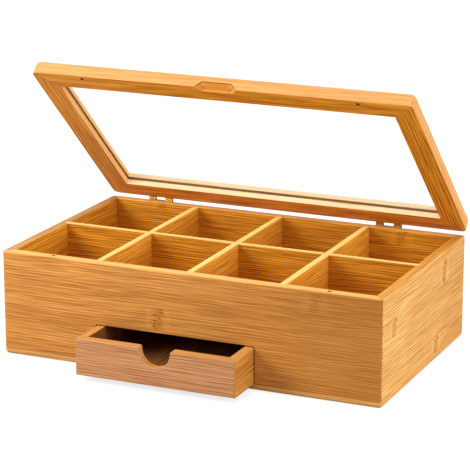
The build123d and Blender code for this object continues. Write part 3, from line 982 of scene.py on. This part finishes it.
def build_screw_tree():
    tree, given, result = new_screw_tree()
    head_height = calculate(tree, "SUBTRACT", given["Head Radius"], given["Shank Radius"])
    screw = add_node(tree, "GeometryNodeJoinGeometry")
    tree.links.new(screw_head(tree, given, head_height), screw.inputs["Geometry"])
    tree.links.new(screw_shank(tree, given, head_height), screw.inputs["Geometry"])
    copies = {
        "Points": given["Geometry"],
        "Instance": screw.outputs["Geometry"],
        "Rotation": facing_and_spun(tree, given),
    }
    placed = add_node(tree, "GeometryNodeInstanceOnPoints", copies).outputs["Instances"]
    real = add_node(tree, "GeometryNodeRealizeInstances", {"Geometry": placed}).outputs["Geometry"]
    paint = {"Geometry": real, "Material": given["Material"]}
    painted = add_node(tree, "GeometryNodeSetMaterial", paint).outputs["Geometry"]
    tree.links.new(painted, result["Geometry"])
    return tree


screw_tree = build_screw_tree()
print("cross_head_screws:", len(screw_tree.nodes), "nodes")

# %% [markdown]
# The stand-ins give everything else. Their vertices fall into four clumps along X, one a screw.
# The head's middle is the middle of the points that lie furthest out along the way it faces.


# %% Drive the screws
def clumps_along_x(points, gap=0.002):
    """Splits points into groups that lie more than gap apart in X."""
    ordered = sorted(points, key=lambda point: point.x)
    groups = [[ordered[0]]]
    for point in ordered[1:]:
        if point.x - groups[-1][-1].x > gap:
            groups.append([])
        groups[-1].append(point)
    return groups


def drive_screws(name, stand_in, facing, body):
    """One mesh of detailed screws in place of a node of plain ones."""
    facing = Vector(facing).normalized()
    points = [vertex.co.copy() for vertex in nodes[stand_in].data.vertices]
    heads = []
    for clump in clumps_along_x(points):
        outermost = max(point.dot(facing) for point in clump)
        head = [point for point in clump if outermost - point.dot(facing) < 0.00001]
        heads.append(sum(head, Vector()) / len(head))
    mesh = bpy.data.meshes.new(name + "_points")
    mesh.from_pydata(heads, [], [])
    seeds = bpy.data.objects.new(name + "_points", mesh)
    bpy.context.scene.collection.objects.link(seeds)
    modifier = seeds.modifiers.new("screws", "NODES")
    modifier.node_group = screw_tree
    values = {"Facing": facing, "Material": screw_brass}
    for item in screw_tree.interface.items_tree:
        if item.in_out == "INPUT" and item.name in values:
            modifier[item.identifier] = values[item.name]
    depsgraph = bpy.context.evaluated_depsgraph_get()
    made = bpy.data.meshes.new_from_object(seeds.evaluated_get(depsgraph), depsgraph=depsgraph)
    seeds.modifiers.remove(modifier)
    bpy.data.objects.remove(seeds)
    made.name = name
    screws = bpy.data.objects.new(name, made)
    bpy.context.scene.collection.objects.link(screws)
    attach(screws, body)
    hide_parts(stand_in)
    print(name + ":", len(heads), "screws,", len(made.polygons), "faces, facing", list(facing))
    return screws


drive_screws("box_screws", "box_leaf_screws", (0, 1, 0), "box")
drive_screws("lid_screws", "lid_leaf_screws", opened @ Vector((0, 1, 0)), "lid")

# %% [markdown]
# ## Magnets
#
# Four small magnets keep the lid shut, two in the rim and two in the lid. Their plating is dull,
# and they are coloured a dark brown.

# %% Magnets
magnet_metal, tree, bsdf = new_material("dark_brown_nickel", **{"Specular IOR Level": 0.08})
place = in_millimetres(tree, texture_place(tree))
film = noise(tree, place, 2.0)
tree.links.new(mix_colour(tree, film, srgb("#3E2616"), srgb("#5C3A22")), bsdf.inputs["Base Color"])
tree.links.new(ramp(tree, film, 0.3, 0.7, 0.55, 0.75), bsdf.inputs["Roughness"])
dress("rim_magnets", magnet_metal)
dress("lid_magnets", magnet_metal)
print("magnets dressed")

# %% [markdown]
# ## Floor and light
#
# The object stands on a white floor in front of white. To the camera the floor glows: pure white
# further out, and a little less near the box, where the lamps' light on it makes up the rest and
# the box's soft shadow can show. Light that bounces from the floor to the box comes from a plain
# grey instead, so that the glow doesn't light the box from below.

# %% Floor
FLOOR_SIZE = 12.0
FLOOR_DROP = 0.0002

half = FLOOR_SIZE / 2
floor_mesh = bpy.data.meshes.new("floor")
corners = [(x * half, y * half, -FLOOR_DROP) for x, y in ((-1, -1), (1, -1), (1, 1), (-1, 1))]
floor_mesh.from_pydata(corners, [], [(0, 1, 2, 3)])
floor = bpy.data.objects.new("floor", floor_mesh)
bpy.context.scene.collection.objects.link(floor)

floor_material = bpy.data.materials.new("floor_white")
floor_material.use_nodes = True
tree = floor_material.node_tree
tree.nodes.clear()
shaded = add_node(tree, "ShaderNodeBsdfDiffuse", {"Color": (0.30, 0.30, 0.31, 1)})
reach = vector_math(tree, "LENGTH", texture_place(tree))
glow = add_node(
    tree,
    "ShaderNodeEmission",
    {"Color": (1.0, 1.0, 1.0, 1), "Strength": ramp(tree, reach, 0.25, 0.7, 0.78, 1.0)},
)
plain = add_node(tree, "ShaderNodeBsdfDiffuse", {"Color": (0.50, 0.49, 0.48, 1)})
seen_floor = add_node(tree, "ShaderNodeAddShader", {0: shaded.outputs[0], 1: glow.outputs[0]})
path = add_node(tree, "ShaderNodeLightPath").outputs
seen = calculate(tree, "MAXIMUM", path["Is Camera Ray"], path["Is Transmission Ray"])
floor_mix = add_node(
    tree, "ShaderNodeMixShader", {0: seen, 1: plain.outputs[0], 2: seen_floor.outputs[0]}
)
add_node(tree, "ShaderNodeOutputMaterial", {"Surface": floor_mix.outputs[0]})
floor_mesh.materials.append(floor_material)
print("floor:", FLOOR_SIZE, "m square")

# %% [markdown]
# A dim white sky fills the shadows, and four soft boxes do the rest: a key on the left for the
# front wall, a broad one on the right for the side wall, one above for the compartments, and one
# behind for the back wall and the outside of the lid.

# %% World
SKY_STRENGTH = 0.36

world = bpy.data.worlds.new("studio")
world.use_nodes = True
bpy.context.scene.world = world
tree = world.node_tree
tree.nodes.clear()
path = add_node(tree, "ShaderNodeLightPath").outputs
seen = calculate(tree, "MAXIMUM", path["Is Glossy Ray"], path["Is Transmission Ray"])
seen = calculate(tree, "MAXIMUM", path["Is Camera Ray"], seen)
soft_white = {"Color": (1.0, 0.985, 0.96, 1), "Strength": SKY_STRENGTH}
soft = add_node(tree, "ShaderNodeBackground", soft_white)
white = add_node(tree, "ShaderNodeBackground", {"Color": (1, 1, 1, 1), "Strength": 1.0})
sky = add_node(tree, "ShaderNodeMixShader", {0: seen, 1: soft.outputs[0], 2: white.outputs[0]})
add_node(tree, "ShaderNodeOutputWorld", {"Surface": sky.outputs[0]})
print("sky strength:", SKY_STRENGTH)


# %% Lamps
def soft_box(name, place, size, power, colour=(1.0, 1.0, 1.0)):
    """A square lamp that faces the middle of the box."""
    lamp = bpy.data.lights.new(name, "AREA")
    lamp.shape = "SQUARE"
    lamp.size = size
    lamp.energy = power
    lamp.color = colour
    holder = bpy.data.objects.new(name, lamp)
    holder.location = place
    direction = Vector((0.0, 0.0, 0.08)) - Vector(place)
    holder.rotation_euler = direction.to_track_quat("-Z", "Y").to_euler()
    bpy.context.scene.collection.objects.link(holder)
    return holder


soft_box("left_key", (-0.70, -0.64, 0.56), 0.5, 8.8, (1.0, 0.98, 0.95))
soft_box("right_fill", (1.70, -0.20, 0.55), 0.9, 20.0, (1.0, 0.98, 0.95))
soft_box("top", (0.30, -0.30, 1.80), 1.0, 13.0, (1.0, 0.98, 0.95))
soft_box("back", (0.4, 1.70, 1.0), 0.9, 8.0)
